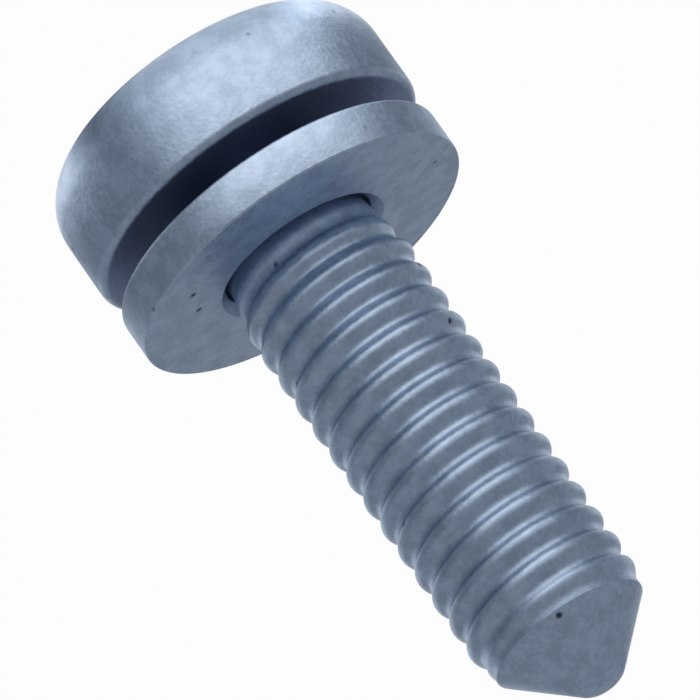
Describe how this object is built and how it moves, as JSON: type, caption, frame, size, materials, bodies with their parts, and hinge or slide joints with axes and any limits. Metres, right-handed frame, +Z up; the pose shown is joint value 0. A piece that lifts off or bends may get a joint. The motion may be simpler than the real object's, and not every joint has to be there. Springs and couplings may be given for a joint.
{
  "type": "screw with captive washer",
  "caption": "Pan head machine screw with six-lobe socket, captive flat washer, metric thread and cone point, in a matt zinc-flake coat.",
  "frame": {"origin": "centre of the head's flat top face, which the screw stands on", "axes": "+Z up the shank to the point; +X and +Y across it, with a thread crest on the +X side 0.93 mm above each whole millimetre"},
  "size_m": [0.012, 0.012, 0.0243],
  "materials": {
    "coated_screw": "matt blue-grey zinc-flake coat on cold-headed steel, dull metallic",
    "coated_washer": "matt blue-grey zinc-flake coat on blanked steel, dull metallic"
  },
  "bodies": {
    "screw": {"screw": "coated_screw"},
    "washer": {"washer": "coated_washer"}
  },
  "joints": [
    {"name": "washer_slide", "type": "slide", "parent": "screw", "child": "washer", "axis": [0, 0, 1], "range_m": [-0.00095, 0.0007]}
  ]
}
